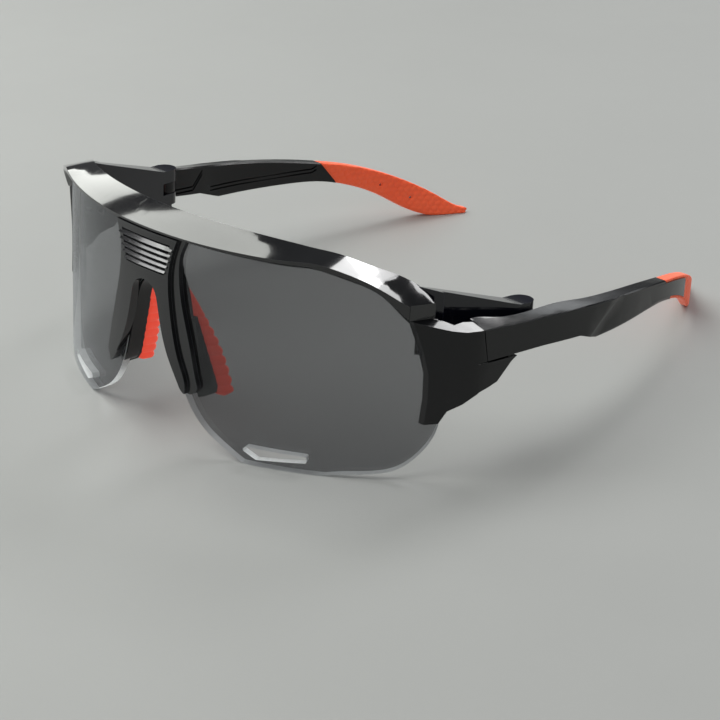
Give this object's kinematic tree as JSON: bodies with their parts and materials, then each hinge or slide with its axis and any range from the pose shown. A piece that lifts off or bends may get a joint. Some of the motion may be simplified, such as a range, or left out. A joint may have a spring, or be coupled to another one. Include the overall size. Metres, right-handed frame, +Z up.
{
  "type": "wraparound sport sunglasses",
  "caption": "Half-rim wraparound sport sunglasses with a single shield lens, a louvred bridge, soft nose pads and folding arms with soft tips.",
  "frame": {"origin": "centre of the footprint on the table the glasses stand on: the lens's lower edge and both arm tips rest at z = 0", "axes": "+X to the wearer's left, -Y the way the wearer looks, +Y back along the arms, +Z up from the table"},
  "size_m": [0.147, 0.1646, 0.0577],
  "materials": {
    "smoke_lens": "polished smoke-tinted polycarbonate",
    "brow_black": "polished black injection-moulded nylon",
    "cover_black": "satin black moulded plastic",
    "carrier_black": "gloss black moulded plastic",
    "shield_black": "gloss black moulded plastic",
    "panel_black": "gloss black moulded plastic",
    "arm_black": "satin-gloss black moulded nylon",
    "soft_red": "matte red-orange elastomer",
    "core_wire": "drawn spring-steel strip",
    "screw_dark": "blackened stainless steel",
    "nut_brass": "turned brass"
  },
  "bodies": {
    "front": {"lens_shield": "smoke_lens", "brow_frame": "brow_black", "bridge_cover": "cover_black", "nose_carrier": "carrier_black", "panel_screws": "screw_dark", "bridge_screws": "screw_dark", "nose_pad_left": "soft_red", "nose_pad_right": "soft_red", "side_shield_left": "shield_black", "side_shield_right": "shield_black", "hinge_panel_left": "panel_black", "hinge_panel_right": "panel_black", "hinge_screw_left": "screw_dark", "hinge_screw_right": "screw_dark", "hinge_nut_left": "nut_brass", "hinge_nut_right": "nut_brass"},
    "left_temple": {"temple_arm_left": "arm_black", "temple_core_left": "core_wire", "temple_tip_left": "soft_red"},
    "right_temple": {"temple_arm_right": "arm_black", "temple_core_right": "core_wire", "temple_tip_right": "soft_red"}
  },
  "joints": [
    {"name": "left_fold", "type": "hinge", "parent": "front", "child": "left_temple", "pos_m": [0.0662, -0.01884, 0.03095], "axis": [0, 0.0802, 0.9968], "range_deg": [0, 90]},
    {"name": "right_fold", "type": "hinge", "parent": "front", "child": "right_temple", "pos_m": [-0.0662, -0.01884, 0.03095], "axis": [0, -0.0802, -0.9968], "range_deg": [0, 76]}
  ]
}
